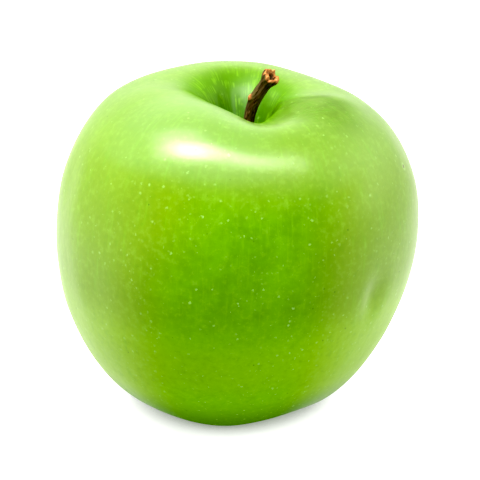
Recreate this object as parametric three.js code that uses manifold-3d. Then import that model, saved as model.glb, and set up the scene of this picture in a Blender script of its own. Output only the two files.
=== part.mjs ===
// A whole green apple, standing on its crown: the fruit, its woody stalk, its dried calyx and the
// tuft of stamens inside the calyx. Millimetres, +Z up. The origin is on the surface the apple
// stands on, under the middle of the fruit.
//
// Every piece is a closed surface of two parameters: an angle round the piece, and a place t that
// runs from one end of it to the other.

import * as THREE from 'three';
import { mergeVertices } from 'three/addons/utils/BufferGeometryUtils.js';
import Module from 'manifold-3d';

const wasm = await Module();
wasm.setup();

const DEGREE = Math.PI / 180;
const FULL_TURN = 2 * Math.PI;

// ---------- the fruit ----------

const EQUATOR_RADIUS = 40;
const SHOULDER_HEIGHT = 72;

// Changes to the shoulder fade in above one share of the height, and to the crown below another.
const SHOULDER_FADE = { from: 0.45, over: 0.5 };
const CROWN_FADE = { from: 0.42, over: 0.4 };

// Half of the round fruit's outline as [radius, height] guide points: from the middle of the stem
// cavity, over the shoulder, round the widest part and under the crown to the middle of the basin.
const FRUIT_GUIDES = [
  [0, 56.8], [3.8, 56.4], [7.8, 64.4], [11.5, 70.9], [19.1, 73.2], [30.3, 69.4], [38.6, 57],
  [41.3, 42], [39.6, 27.6], [34.3, 13], [25.5, 2.6], [16, -1.7], [8, 4.5], [2.4, 10.9], [0, 10.4],
];

// Each lobe: how far it swells outwards and how far its shoulder rises. The first stands at
// FIRST_LOBE_AZIMUTH, and the rest follow it every 72 degrees.
const FIRST_LOBE_AZIMUTH = -120;
const LOBES = [
  { swell: -0.1, rise: 0.3 },
  { swell: -2.2, rise: 0.4 },
  { swell: -1, rise: -2.15 },
  { swell: 0.3, rise: -0.2 },
  { swell: -0.1, rise: -0.5 },
];
const LOBE_SHARPNESS = 5;

// The grooves between lobes: under the crown, and round the sides where they fade at mid height.
// The fruit twists as it grows, so the crown's grooves are turned from those of the sides.
const CROWN_GROOVE = 1;
const CROWN_TURN = 28;
const SIDE_GROOVE = { depth: 0.8, fade: 0.6, middle: 0.5, reach: 0.3 };
const CALM_AXIS_RADIUS = 7;

// The top leans to one side, and the whole shoulder tips a little with it.
const TOP_LEAN = 2.7;
const SHOULDER_TIP = { x: -1.5, y: -1 };

// A saddle is pressed into the rim of the stem cavity.
const SADDLE = { azimuth: -74, depth: 4.2, radius: 15, reach: 9, sharpness: 8 };

// A shallow upright dent low on one side, where the fruit pressed against a twig.
const DENT = { azimuth: -41, height: 33.5, depth: 1.1, reachRound: 3.4, reachUp: 4.8 };

// The wall of the stem cavity is folded into five nearly flat sides that meet at rounded corners.
// One corner stands at this azimuth, and the folding is strongest at one distance from the axis.
const CAVITY_FOLDS = { corner: 110, share: 0.6, radius: 7.5, reach: 4.5, sharpness: 24 };
const CAVITY_FLOOR_SHARE = 0.5;

// The mouth of the cavity is wider at the back, and narrower on both sides. Each change is the
// strongest at one azimuth and at one distance from the axis.
const CAVITY_MOUTH = [
  { azimuth: 92, widening: 2, radius: 11.5, reach: 4.5, sharpness: 2.5 },
  { azimuth: 5, widening: -3.5, radius: 11.5, reach: 5, sharpness: 2.5 },
  { azimuth: 185, widening: -1.5, radius: 11.5, reach: 5, sharpness: 2.5 },
];

// The crown's lobes are worn flat by this much where they bear on the surface.
const REST_WEAR = 0.3;

const FRUIT_COLUMNS = 72;
const FRUIT_ROWS = 46;

// ---------- the stalk ----------

// Its middle line as [x, y, height] guide points on the fruit, from its root to its torn end.
const STALK_PATH = [
  [3, 0, 51], [3, 0, 54], [3.1, -0.1, 58], [3.2, -0.4, 63], [3.9, -0.8, 67.7], [5.7, -1.4, 71.3],
  [7.6, -1.9, 74], [8.8, -2.2, 75.9],
];

// Its outline as [radius, distance from the root] guide points, ending inside the torn hollow.
const STALK_GUIDES = [
  [0, 0], [1, 0], [1.4, 0.8], [1.3, 5], [1.15, 10], [1.15, 14], [1.3, 18], [1.28, 21.6],
  [1.2, 23.1], [1.85, 24.4], [1.85, 25.6], [1.25, 25.8], [0.85, 24.9], [0.5, 24.3], [0, 24.1],
];
const BARK = { ridges: 5, height: 0.05 };
const KNOB = { azimuth: 200, distance: 19, height: 0.5, reach: 0.8, sharpness: 6 };
const TORN_END = { from: 24, reach: 2, azimuth: -60, slant: 0.35, teeth: 5, tooth: 0.12 };
const STALK_COLUMNS = 20;
const STALK_ROWS = 40;

// The socket that its root sits in reaches up into the open cavity.
const STALK_SOCKET = { radius: 1.7, bottom: 50.5, top: 60 };

// ---------- the calyx and its stamens ----------

const CALYX_CUP = { radius: 3, top: 12.6, bottom: 9.6 };
const CALYX_HOLLOW = { radius: 1.3, top: 11.6 };
const SEPALS = { count: 5, azimuth: 20, thickness: 0.7, halfWidth: 1.7, tipHalfWidth: 0.35 };

// A sepal's middle line as [distance from the axis, height] guide points, from root to tip.
const SEPAL_PATH = [[2.2, 10.9], [2.2, 9.4], [1.9, 7.8], [2.1, 6.2], [3.1, 5], [4.4, 4.7]];
const SEPAL_COLUMNS = 8;
const SEPAL_ROWS = 10;

const STAMENS = { count: 9, radius: 0.2, antherRadius: 0.32, antherReach: 0.3 };
const STAMEN_PATH = [[0.3, 10.4], [0.45, 9], [0.7, 7.6], [0.9, 6.4]];
const STAMEN_COLUMNS = 6;
const STAMEN_ROWS = 7;
const TUFT_CORE = { radius: 1, top: 11.3, bottom: 9.4 };

// Room left between a piece and the socket it sits in, and how far a cutter runs past what it cuts.
const SOCKET_GAP = 0.3;
const CUTTER_REACH = 2;
const PLUG_COLUMNS = 24;

// ---------- colours and finish ----------

const SKIN_GREEN = 0x74b816;
const BARK_BROWN = 0x4f3a1a;
const SEPAL_TAN = 0x7d6b3a;
const STAMEN_BROWN = 0x3d2a17;
const WAXY_ROUGHNESS = 0.3;
const DRY_ROUGHNESS = 0.9;

// ---------- helpers ----------

const bell = (angle, sharpness) => Math.exp(sharpness * (Math.cos(angle) - 1));
const hump = (offset, reach) => Math.exp(-((offset / reach) ** 2));
const mix = (from, to, share) => from + (to - from) * share;

function ease(value) {
  const x = THREE.MathUtils.clamp(value, 0, 1);
  return x * x * (3 - 2 * x);
}

// A smooth cubic curve drawn between guide points. Each stretch blends the four guides round it.
// The two points past the ends are given, and say how the curve ends.
function guideCurve(guides, before, after) {
  const line = [before, ...guides, after, after];
  const stretches = guides.length - 1;
  return (t) => {
    const place = THREE.MathUtils.clamp(t, 0, 1) * stretches;
    const first = Math.min(Math.floor(place), stretches - 1);
    const f = place - first;
    const weights = [
      (1 - f) ** 3, 3 * f ** 3 - 6 * f ** 2 + 4, -3 * f ** 3 + 3 * f ** 2 + 3 * f + 1, f ** 3,
    ];
    const blend = (axis) => weights.reduce((sum, w, i) => sum + w * line[first + i][axis], 0) / 6;
    return guides[0].map((_, axis) => blend(axis));
  };
}

// An outline that starts and ends on the axis: its guides carry on as their own mirror image.
function outlineCurve(guides) {
  const mirrored = ([radius, height]) => [-radius, height];
  const curve = guideCurve(guides, mirrored(guides[1]), mirrored(guides.at(-2)));
  return (t) => {
    const [radius, height] = curve(t);
    return [t === 0 || t === 1 ? 0 : radius, height];
  };
}

// A path that starts and ends exactly at its first and last guides.
class GuidedPath extends THREE.Curve {
  constructor(guides) {
    super();
    const beyond = (end, inner) => end.map((value, axis) => 2 * value - inner[axis]);
    this.along = guideCurve(
      guides, beyond(guides[0], guides[1]), beyond(guides.at(-1), guides.at(-2)),
    );
  }

  getPoint(t, target = new THREE.Vector3()) {
    return target.set(...this.along(t));
  }
}

// A closed surface: pointAt(angle, t) gives its points, and at t = 0 and t = 1 it closes to one.
function closedSurface(columns, rows, pointAt) {
  const points = [pointAt(0, 0)];
  for (let row = 1; row < rows; row += 1) {
    for (let column = 0; column < columns; column += 1) {
      points.push(pointAt((column / columns) * FULL_TURN, row / rows));
    }
  }
  points.push(pointAt(0, 1));
  const at = (row, column) => 1 + (row - 1) * columns + (column % columns);
  const end = points.length - 1;
  const faces = [];
  for (let column = 0; column < columns; column += 1) {
    faces.push(0, at(1, column), at(1, column + 1));
    for (let row = 1; row < rows - 1; row += 1) {
      faces.push(at(row, column), at(row + 1, column), at(row + 1, column + 1));
      faces.push(at(row, column), at(row + 1, column + 1), at(row, column + 1));
    }
    faces.push(end, at(rows - 1, column + 1), at(rows - 1, column));
  }
  const geometry = new THREE.BufferGeometry().setFromPoints(points);
  geometry.setIndex(faces);
  return facingOut(geometry);
}

function signedVolume(geometry) {
  const corners = geometry.getAttribute('position');
  const corner = (i) => new THREE.Vector3().fromBufferAttribute(corners, geometry.index.getX(i));
  let volume = 0;
  for (let i = 0; i < geometry.index.count; i += 3) {
    volume += corner(i).dot(corner(i + 1).cross(corner(i + 2))) / 6;
  }
  return volume;
}

function facingOut(geometry) {
  if (signedVolume(geometry) < 0) {
    geometry.setIndex(Array.from(geometry.index.array).reverse());
  }
  return geometry;
}

function solidOf(geometry) {
  return new wasm.Manifold(new wasm.Mesh({
    numProp: 3,
    vertProperties: new Float32Array(geometry.getAttribute('position').array),
    triVerts: new Uint32Array(geometry.index.array),
  }));
}

function namedMesh(name, solid, color, roughness) {
  const { vertProperties, triVerts } = solid.getMesh();
  const geometry = new THREE.BufferGeometry();
  geometry.setAttribute('position', new THREE.BufferAttribute(vertProperties, 3));
  geometry.setIndex(new THREE.BufferAttribute(triVerts, 1));
  geometry.computeVertexNormals();
  const material = new THREE.MeshStandardMaterial({ color, roughness, metalness: 0 });
  const mesh = new THREE.Mesh(geometry, material);
  mesh.name = name;
  return mesh;
}

// A point at a distance from the vertical axis.
function polar(azimuth, radius, height) {
  return new THREE.Vector3(radius * Math.cos(azimuth), radius * Math.sin(azimuth), height);
}

// A round upright plug with its middle at x, y.
function plug(x, y, radius, bottom, top) {
  const outline = [[0, bottom], [radius, bottom], [radius, top], [0, top]];
  const corners = outline.length - 1;
  return solidOf(closedSurface(PLUG_COLUMNS, corners, (angle, t) => {
    const [reach, height] = outline[Math.round(t * corners)];
    return polar(angle, reach, height).add(new THREE.Vector3(x, y, 0));
  }));
}

// ---------- the fruit ----------

// Adds up one quality of the lobes round an azimuth, each lobe fading away on both sides.
function lobeSum(azimuth, quality) {
  return LOBES.reduce((sum, lobe, i) => {
    const middle = FIRST_LOBE_AZIMUTH * DEGREE + (i * FULL_TURN) / LOBES.length;
    return sum + quality(lobe) * bell(azimuth - middle, LOBE_SHARPNESS);
  }, 0);
}

// 1 on a lobe and 0 in the groove between two.
function lobeShare(azimuth) {
  const onLobe = FIRST_LOBE_AZIMUTH * DEGREE;
  const inGroove = onLobe + Math.PI / LOBES.length;
  const highest = lobeSum(onLobe, () => 1);
  const lowest = lobeSum(inGroove, () => 1);
  return (lobeSum(azimuth, () => 1) - lowest) / (highest - lowest);
}

// A ring with five nearly flat sides, each at distance 1 from the middle.
function fiveSided(azimuth) {
  const { corner, sharpness } = CAVITY_FOLDS;
  const facing = LOBES.reduce((sum, _, i) => {
    const side = corner * DEGREE + ((i + 0.5) * FULL_TURN) / LOBES.length;
    return sum + Math.max(Math.cos(azimuth - side), 0) ** sharpness;
  }, 0);
  return facing ** (-1 / sharpness);
}

const MEAN_FOLD = Array.from({ length: FRUIT_COLUMNS }, (_, i) => (
  fiveSided((i / FRUIT_COLUMNS) * FULL_TURN) / FRUIT_COLUMNS
)).reduce((sum, fold) => sum + fold, 0);

// How far the wall of the cavity moves outwards, adding up the sides of its mouth.
function mouthWidening(azimuth, outlineRadius, heightShare) {
  const widening = CAVITY_MOUTH.reduce((sum, side) => {
    const width = side.widening * bell(azimuth - side.azimuth * DEGREE, side.sharpness);
    return sum + width * hump(outlineRadius - side.radius, side.reach);
  }, 0);
  return heightShare > CAVITY_FLOOR_SHARE ? widening : 0;
}

// How far the folds of the cavity move its wall outwards, as a share of the radius.
function foldShare(azimuth, outlineRadius, heightShare) {
  const strength = CAVITY_FOLDS.share * hump(outlineRadius - CAVITY_FOLDS.radius, CAVITY_FOLDS.reach);
  return heightShare > CAVITY_FLOOR_SHARE ? strength * (fiveSided(azimuth) - MEAN_FOLD) : 0;
}

function dentDepth(azimuth, radius, height) {
  const turned = azimuth - DENT.azimuth * DEGREE;
  const across = hump(radius * Math.sin(turned), DENT.reachRound);
  const upright = hump(height - DENT.height, DENT.reachUp);
  return Math.cos(turned) > 0 ? DENT.depth * across * upright : 0;
}

// Where a point of the round outline goes once the fruit has its lobes, lean, saddle, folds and dent.
function fruitPoint(azimuth, outlineRadius, outlineHeight) {
  const share = outlineHeight / SHOULDER_HEIGHT;
  const awayFromAxis = 1 - hump(outlineRadius, CALM_AXIS_RADIUS);
  const top = ease((share - SHOULDER_FADE.from) / SHOULDER_FADE.over);
  const bottom = ease((CROWN_FADE.from - share) / CROWN_FADE.over);
  const swell = 1 + lobeSum(azimuth, (lobe) => lobe.swell) / EQUATOR_RADIUS;
  const sideGroove = SIDE_GROOVE.depth * (1 - lobeShare(azimuth)) * awayFromAxis
    * (1 - SIDE_GROOVE.fade * hump(share - SIDE_GROOVE.middle, SIDE_GROOVE.reach));
  const dent = dentDepth(azimuth, outlineRadius, outlineHeight);
  const folded = 1 + foldShare(azimuth, outlineRadius, share);
  const mouth = mouthWidening(azimuth, outlineRadius, share);
  const radius = (outlineRadius * swell - sideGroove - dent) * folded + mouth;
  const point = polar(azimuth, radius, outlineHeight);
  const rise = lobeSum(azimuth, (lobe) => lobe.rise) * awayFromAxis;
  const tip = (SHOULDER_TIP.x * point.x + SHOULDER_TIP.y * point.y) / EQUATOR_RADIUS;
  const saddle = SADDLE.depth * bell(azimuth - SADDLE.azimuth * DEGREE, SADDLE.sharpness)
    * hump(outlineRadius - SADDLE.radius, SADDLE.reach) * awayFromAxis;
  const crownGroove = CROWN_GROOVE * (1 - lobeShare(azimuth - CROWN_TURN * DEGREE));
  point.z += (rise + tip - saddle) * top + crownGroove * bottom * awayFromAxis;
  point.x += TOP_LEAN * ease(share);
  return point;
}

// What the surface it stands on has worn away from the crown.
function wornLayer() {
  const width = 4 * EQUATOR_RADIUS;
  const layer = new THREE.BoxGeometry(width, width, SHOULDER_HEIGHT);
  layer.translate(0, 0, REST_WEAR - SHOULDER_HEIGHT / 2);
  layer.deleteAttribute('normal');
  layer.deleteAttribute('uv');
  return solidOf(mergeVertices(layer));
}

function fruitSolid() {
  const outline = outlineCurve(FRUIT_GUIDES);
  const grown = solidOf(closedSurface(FRUIT_COLUMNS, FRUIT_ROWS, (angle, t) => (
    fruitPoint(angle, ...outline(t))
  )));
  const [rootX, rootY] = STALK_PATH[0];
  const { radius, bottom, top } = STALK_SOCKET;
  const stalkSocket = plug(rootX, rootY, radius, bottom, top);
  const calyxSocket = plug(
    0, 0, CALYX_CUP.radius + SOCKET_GAP, CALYX_CUP.bottom - CUTTER_REACH, CALYX_CUP.top + SOCKET_GAP,
  );
  return grown.subtract(wornLayer()).subtract(stalkSocket).subtract(calyxSocket);
}

// ---------- the stalk ----------

function knobHeight(angle, distance) {
  const along = hump(distance - KNOB.distance, KNOB.reach);
  return KNOB.height * along * bell(angle - KNOB.azimuth * DEGREE, KNOB.sharpness);
}

// How far the torn end stands out or falls back, from a slanting tear and its broken fibres.
function tornOffset(angle, distance, radius) {
  const slant = TORN_END.slant * radius * Math.cos(angle - TORN_END.azimuth * DEGREE);
  const teeth = TORN_END.tooth * radius * Math.sin(TORN_END.teeth * angle);
  return (teeth - slant) * ease((distance - TORN_END.from) / TORN_END.reach);
}

function stalkSolid() {
  const path = new GuidedPath(STALK_PATH);
  const length = path.getLength();
  const outline = outlineCurve(STALK_GUIDES);
  return solidOf(closedSurface(STALK_COLUMNS, STALK_ROWS, (angle, t) => {
    const [outlineRadius, outlineDistance] = outline(t);
    const bark = 1 + BARK.height * Math.cos(BARK.ridges * angle);
    const radius = outlineRadius * bark + knobHeight(angle, outlineDistance);
    const distance = outlineDistance + tornOffset(angle, outlineDistance, outlineRadius);
    const share = THREE.MathUtils.clamp(distance / length, 0, 1);
    const forward = path.getTangentAt(share);
    const right = new THREE.Vector3(0, 1, 0).cross(forward).normalize();
    const back = new THREE.Vector3().crossVectors(forward, right);
    return path.getPointAt(share)
      .addScaledVector(forward, distance - share * length)
      .addScaledVector(right, radius * Math.cos(angle))
      .addScaledVector(back, radius * Math.sin(angle));
  }));
}

// ---------- the calyx and its stamens ----------

// A blade or thread that stands in the upright plane at an azimuth. sectionAt(t) gives half its
// width across that plane and half its thickness within it.
function risingPiece(azimuth, guides, columns, rows, sectionAt) {
  const path = new GuidedPath(guides.map(([reach, height]) => [reach, 0, height]));
  return solidOf(closedSurface(columns, rows, (angle, t) => {
    const { halfWidth, halfThickness } = sectionAt(t);
    const closing = t === 0 || t === 1 ? 0 : 1;
    const forward = path.getTangentAt(t);
    const normal = new THREE.Vector3(-forward.z, 0, forward.x);
    return path.getPointAt(t)
      .addScaledVector(normal, closing * halfThickness * Math.sin(angle))
      .add(new THREE.Vector3(0, closing * halfWidth * Math.cos(angle), 0))
      .applyAxisAngle(new THREE.Vector3(0, 0, 1), azimuth);
  }));
}

function fannedOut(count, firstAzimuth, pieceAt) {
  return Array.from({ length: count }, (_, i) => pieceAt(firstAzimuth + (i * FULL_TURN) / count));
}

function sepalSolid(azimuth) {
  return risingPiece(azimuth, SEPAL_PATH, SEPAL_COLUMNS, SEPAL_ROWS, (t) => ({
    halfWidth: mix(SEPALS.halfWidth, SEPALS.tipHalfWidth, t * t),
    halfThickness: SEPALS.thickness / 2,
  }));
}

function calyxSolid() {
  const { radius, bottom, top } = CALYX_CUP;
  const hollow = plug(0, 0, CALYX_HOLLOW.radius, bottom - CUTTER_REACH, CALYX_HOLLOW.top);
  const cup = plug(0, 0, radius, bottom, top).subtract(hollow);
  return fannedOut(SEPALS.count, SEPALS.azimuth * DEGREE, sepalSolid)
    .reduce((whole, sepal) => whole.add(sepal), cup);
}

function stamenSolid(azimuth) {
  return risingPiece(azimuth, STAMEN_PATH, STAMEN_COLUMNS, STAMEN_ROWS, (t) => {
    const radius = mix(STAMENS.radius, STAMENS.antherRadius, hump(1 - t, STAMENS.antherReach));
    return { halfWidth: radius, halfThickness: radius };
  });
}

function stamensSolid() {
  const core = plug(0, 0, TUFT_CORE.radius, TUFT_CORE.bottom, TUFT_CORE.top);
  return fannedOut(STAMENS.count, 0, stamenSolid)
    .reduce((whole, stamen) => whole.add(stamen), core);
}

// ---------- the whole apple ----------

const fruit = namedMesh('fruit', fruitSolid(), SKIN_GREEN, WAXY_ROUGHNESS);
const stalk = namedMesh('stalk', stalkSolid(), BARK_BROWN, DRY_ROUGHNESS);
const calyx = namedMesh('calyx', calyxSolid(), SEPAL_TAN, DRY_ROUGHNESS);
const stamens = namedMesh('stamens', stamensSolid(), STAMEN_BROWN, DRY_ROUGHNESS);

const apple = new THREE.Group();
apple.add(fruit, stalk, calyx, stamens);

// Stand it on its worn crown, with the middle of the fruit over the origin.
const middle = new THREE.Box3().setFromObject(fruit).getCenter(new THREE.Vector3());
apple.position.set(-middle.x, -middle.y, -REST_WEAR);

export default apple;
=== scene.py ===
# %% [markdown]
# # A whole green apple
# A green apple of the sharp, waxy kind is one grown body, with three small dry pieces of its own:
# the woody stalk in the cavity on top, the five withered sepals of the old blossom underneath, and
# the dark tuft of its stamens between them. Everything here is worked out as surfaces with numpy:
# a place round the piece and a place along it give each point. The packed CAD model is the frame
# that all of it is set into, so it is loaded first and never moved.

# %% Load the frame
from functools import reduce

import bpy
import numpy as np
from mathutils import Matrix, Vector


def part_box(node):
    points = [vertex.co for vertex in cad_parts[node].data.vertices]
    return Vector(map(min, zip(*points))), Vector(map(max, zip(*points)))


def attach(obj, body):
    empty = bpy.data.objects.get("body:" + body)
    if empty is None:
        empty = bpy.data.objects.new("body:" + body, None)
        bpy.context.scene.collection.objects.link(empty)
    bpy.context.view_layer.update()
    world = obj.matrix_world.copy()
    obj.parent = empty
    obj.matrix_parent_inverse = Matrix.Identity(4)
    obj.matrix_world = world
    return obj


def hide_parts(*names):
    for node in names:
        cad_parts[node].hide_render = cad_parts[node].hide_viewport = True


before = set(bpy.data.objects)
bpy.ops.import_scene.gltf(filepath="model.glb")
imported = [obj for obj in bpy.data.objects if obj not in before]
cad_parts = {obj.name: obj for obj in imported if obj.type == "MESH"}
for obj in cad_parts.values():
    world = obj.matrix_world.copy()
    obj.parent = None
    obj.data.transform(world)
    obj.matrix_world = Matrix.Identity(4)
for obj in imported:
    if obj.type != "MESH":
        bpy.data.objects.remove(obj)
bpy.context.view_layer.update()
fruit_low, fruit_high = (np.array(corner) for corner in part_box("fruit"))

# %% [markdown]
# ## Curves through the air
# A fruit has no straight line and no true arc in it, so its outline is a smooth cubic curve drawn
# between a few guide points. A cubic B-spline is chosen because its curvature never jumps: on waxy
# skin a jump would show as a kink in every reflection. Sizes are in millimetres until the mesh is made.

# %% Curves between guide points
MM = 0.001


def guide_curve(guides, before, after):
    """Each stretch is a blend of four neighbouring guides, with weights (1-f)^3, 3f^3-6f^2+4,
    -3f^3+3f^2+3f+1 and f^3, over 6, where f runs from 0 to 1 along the stretch."""
    line = np.vstack([before, guides, after, after]).astype(float)
    stretches = len(guides) - 1

    def along(t):
        place = np.clip(t, 0, 1) * stretches
        first = np.minimum(place.astype(int), stretches - 1)
        f = (place - first)[..., None]
        weights = (1 - f) ** 3, 3 * f**3 - 6 * f**2 + 4, -3 * f**3 + 3 * f**2 + 3 * f + 1, f**3
        return sum(weight * line[first + i] for i, weight in enumerate(weights)) / 6

    return along


def outline_curve(guides):
    """(radius, height) along an outline that starts and ends on the axis: the guides go on past
    both ends as their own mirror image, so the surface crosses the axis level."""
    guides = np.array(guides, float)
    mirror = np.array([-1, 1])
    return guide_curve(guides, guides[1] * mirror, guides[-2] * mirror)


def path_curve(guides):
    """A path that starts and ends exactly at its first and last guides."""
    guides = np.array(guides, float)
    return guide_curve(guides, 2 * guides[0] - guides[1], 2 * guides[-1] - guides[-2])


def bell(angle, sharpness):
    """A bump round the circle: exp(sharpness (cos(angle) - 1)), 1 at angle 0."""
    return np.exp(sharpness * (np.cos(angle) - 1))


def hump(offset, reach):
    """A bump on the line: exp(-(offset / reach)^2)."""
    return np.exp(-((offset / reach) ** 2))


def ease(x):
    """0 below 0, 1 above 1, and 3x^2 - 2x^3 between them."""
    x = np.clip(x, 0, 1)
    return x * x * (3 - 2 * x)


def ripple(angle, waves):
    """The sum of height sin(number angle + start) over a few waves: uneven, but closed."""
    return sum(height * np.sin(number * angle + start) for number, height, start in waves)


print("curve check:", outline_curve([[0, 0], [1, 0], [1, 1], [0, 1]])(np.array([0, 0.5, 1])).round(2))

# %% [markdown]
# ## From a grid of points to a closed mesh
# All the pieces are closed: each starts at one point, widens into rings and ends at one point. One
# helper turns such a grid into a mesh. The rings become quads, and both ends close with a fan, so
# there is no open pole. The vertices go in with foreach_set, as whole arrays, which is quick even
# for a hundred thousand faces. A UV map keeps the place round (U) and along (V) each piece.

# %% Mesh helper
def signed_volume(points, triangles):
    """The sum of a . (b x c) / 6 over the triangles: above zero when the faces point outwards."""
    a, b, c = (points[triangles[:, i]] for i in range(3))
    return float(np.einsum("ij,ij->i", a, np.cross(b, c)).sum() / 6)


def closed_grid(columns, rows):
    """The loops of a closed grid: a fan, rows of quads, a fan. Returns corners, face sizes, and
    each corner's (u, v)."""
    ring = 1 + np.arange((rows - 2) * columns).reshape(rows - 2, columns)
    beside = np.roll(ring, -1, axis=1)
    last = ring.max() + 1
    start = np.stack([np.zeros(columns, int), ring[0], beside[0]], -1)
    quads = np.stack([ring[:-1], ring[1:], beside[1:], beside[:-1]], -1).reshape(-1, 4)
    end = np.stack([np.full(columns, last), beside[-1], ring[-1]], -1)
    u = np.arange(columns) / columns
    u_next = u + 1 / columns
    v = np.arange(1, rows - 1) / (rows - 1)
    middle = (u + u_next) / 2
    start_uv = np.stack([middle, 0 * u, u, 0 * u + v[0], u_next, 0 * u + v[0]], -1)
    wide_u, wide_v = np.meshgrid(u, v[:-1])
    next_u, next_v = np.meshgrid(u_next, v[1:])
    quad_uv = np.stack([wide_u, wide_v, wide_u, next_v, next_u, next_v, next_u, wide_v], -1)
    end_uv = np.stack([middle, 0 * u + 1, u_next, 0 * u + v[-1], u, 0 * u + v[-1]], -1)
    corners = np.concatenate([start.ravel(), quads.ravel(), end.ravel()])
    sizes = np.concatenate([np.full(columns, 3), np.full(len(quads), 4), np.full(columns, 3)])
    uv = np.concatenate([start_uv.ravel(), quad_uv.ravel(), end_uv.ravel()])
    return corners, sizes, uv, quads


def flatten_grid(values):
    """One value a vertex, in the closed grid's order, from a grid [column, row]."""
    inner = np.swapaxes(values[:, 1:-1], 0, 1)
    return np.concatenate([values[:1, 0], inner.reshape(-1, *values.shape[2:]), values[:1, -1]])


def closed_piece(name, points, marks=None):
    """A mesh object from points[column, row, xyz] in millimetres. marks are named grids of one
    number or one vector a vertex, kept as attributes for the materials."""
    columns, rows = points.shape[:2]
    corners, sizes, uv, quads = closed_grid(columns, rows)
    vertices = flatten_grid(points) * MM
    mesh = bpy.data.meshes.new(name)
    mesh.vertices.add(len(vertices))
    mesh.vertices.foreach_set("co", vertices.astype(np.float32).ravel())
    mesh.loops.add(len(corners))
    mesh.loops.foreach_set("vertex_index", corners.astype(np.int32))
    mesh.polygons.add(len(sizes))
    mesh.polygons.foreach_set("loop_start", np.concatenate([[0], np.cumsum(sizes)[:-1]]).astype(np.int32))
    mesh.polygons.foreach_set("use_smooth", np.ones(len(sizes), bool))
    mesh.uv_layers.new(name="UVMap").data.foreach_set("uv", uv.astype(np.float32))
    for mark, grid in (marks or {}).items():
        kind, field = ("FLOAT_VECTOR", "vector") if grid.ndim == 3 else ("FLOAT", "value")
        layer = mesh.attributes.new(mark, kind, "POINT")
        layer.data.foreach_set(field, flatten_grid(grid).astype(np.float32).ravel())
    mesh.update(calc_edges=True)
    if signed_volume(vertices, quads[:, :3]) + signed_volume(vertices, quads[:, [0, 2, 3]]) < 0:
        mesh.flip_normals()
    piece = bpy.data.objects.new(name, mesh)
    bpy.context.collection.objects.link(piece)
    print(f"{name}: {len(vertices)} vertices, {int((sizes - 2).sum())} triangles")
    return piece


def ring_of(columns):
    """Evenly spaced angles round a piece, as a column."""
    return np.linspace(0, 2 * np.pi, columns, endpoint=False)[:, None]


print("grid check:", len(closed_grid(4, 4)[1]), "faces close a grid of 4 by 4")

# %% [markdown]
# ## The shape of the fruit
# An apple swells from five seed chambers, so it is never quite round: five low lobes run up its
# sides, stand as five bumps round the basin underneath, and lift the shoulder on top. This one
# leans a little, its shoulder drops on one side, a saddle is pressed into the front of the rim,
# and a dent low on the right shows where it grew against a twig. It could be sculpted, but a
# formula keeps every one of these as a size that can be read and changed: a round outline is
# taken first, and each feature then moves its points outwards or upwards by a smooth bump.

# %% The fruit's driving sizes
EQUATOR_RADIUS = 40
SHOULDER_HEIGHT = 72
TOP_HALF = 0.5
SHOULDER_FADE = {"from": 0.45, "over": 0.5}
CROWN_FADE = {"from": 0.42, "over": 0.4}

FRUIT_GUIDES = [
    [0, 56.8], [3.8, 56.4], [7.8, 64.4], [11.5, 70.9], [19.1, 73.2], [30.3, 69.4], [38.6, 57],
    [41.3, 42], [39.6, 27.6], [34.3, 13], [25.5, 2.6], [16, -1.7], [8, 4.5], [2.4, 10.9], [0, 10.4],
]

LOBES = 5
LOBE_STEP = 360 // LOBES
FIRST_LOBE_AZIMUTH = -120
LOBE_SWELL = [-0.1, -2.2, -1, 0.3, -0.1]
LOBE_RISE = [0.3, 0.4, -2.15, -0.2, -0.5]
LOBE_SHARPNESS = 5
CROWN_GROOVE = 1
CROWN_TURN = 28
SIDE_GROOVE = {"depth": 0.8, "fade": 0.6, "middle": 0.5, "reach": 0.3}
CALM_AXIS_RADIUS = 7

TOP_LEAN = 2.7
SHOULDER_TIP = (-1.5, -1)
SADDLE = {"azimuth": -74, "depth": 4.2, "radius": 15, "reach": 9, "sharpness": 8}
DENT = {"azimuth": -41, "height": 33.5, "depth": 1.1, "round": 3.4, "up": 4.8}
CAVITY_FOLDS = {"corner": 110, "share": 0.6, "radius": 7.5, "reach": 4.5, "sharpness": 24}
CAVITY_MOUTH = [
    {"azimuth": 92, "widening": 2, "radius": 11.5, "reach": 4.5, "sharpness": 2.5},
    {"azimuth": 5, "widening": -3.5, "radius": 11.5, "reach": 5, "sharpness": 2.5},
    {"azimuth": 185, "widening": -1.5, "radius": 11.5, "reach": 5, "sharpness": 2.5},
]
REST_WEAR = 0.3
print("lobes at azimuths", [FIRST_LOBE_AZIMUTH + LOBE_STEP * i for i in range(LOBES)])


# %% The grown shape
def lobe_sum(azimuth, sizes):
    """The sum of size_i bell(azimuth - lobe_i): each lobe's own size, fading on both sides."""
    lobes = np.radians(FIRST_LOBE_AZIMUTH + LOBE_STEP * np.arange(LOBES))
    return sum(size * bell(azimuth - lobe, LOBE_SHARPNESS) for size, lobe in zip(sizes, lobes))


def lobe_share(azimuth):
    """1 on a lobe and 0 in the groove between two."""
    alike = [1] * LOBES
    on_lobe, in_groove = np.radians([FIRST_LOBE_AZIMUTH, FIRST_LOBE_AZIMUTH + LOBE_STEP / 2])
    highest, lowest = lobe_sum(on_lobe, alike), lobe_sum(in_groove, alike)
    return (lobe_sum(azimuth, alike) - lowest) / (highest - lowest)


def five_sided(azimuth, corner, sharpness):
    """A ring with five nearly flat sides at distance 1 and rounded corners:
    (sum over the sides of max(cos(azimuth - side), 0)^sharpness)^(-1 / sharpness)."""
    sides = np.radians(corner + LOBE_STEP / 2 + LOBE_STEP * np.arange(LOBES))
    return sum(np.maximum(np.cos(azimuth - side), 0) ** sharpness for side in sides) ** (-1 / sharpness)


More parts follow.
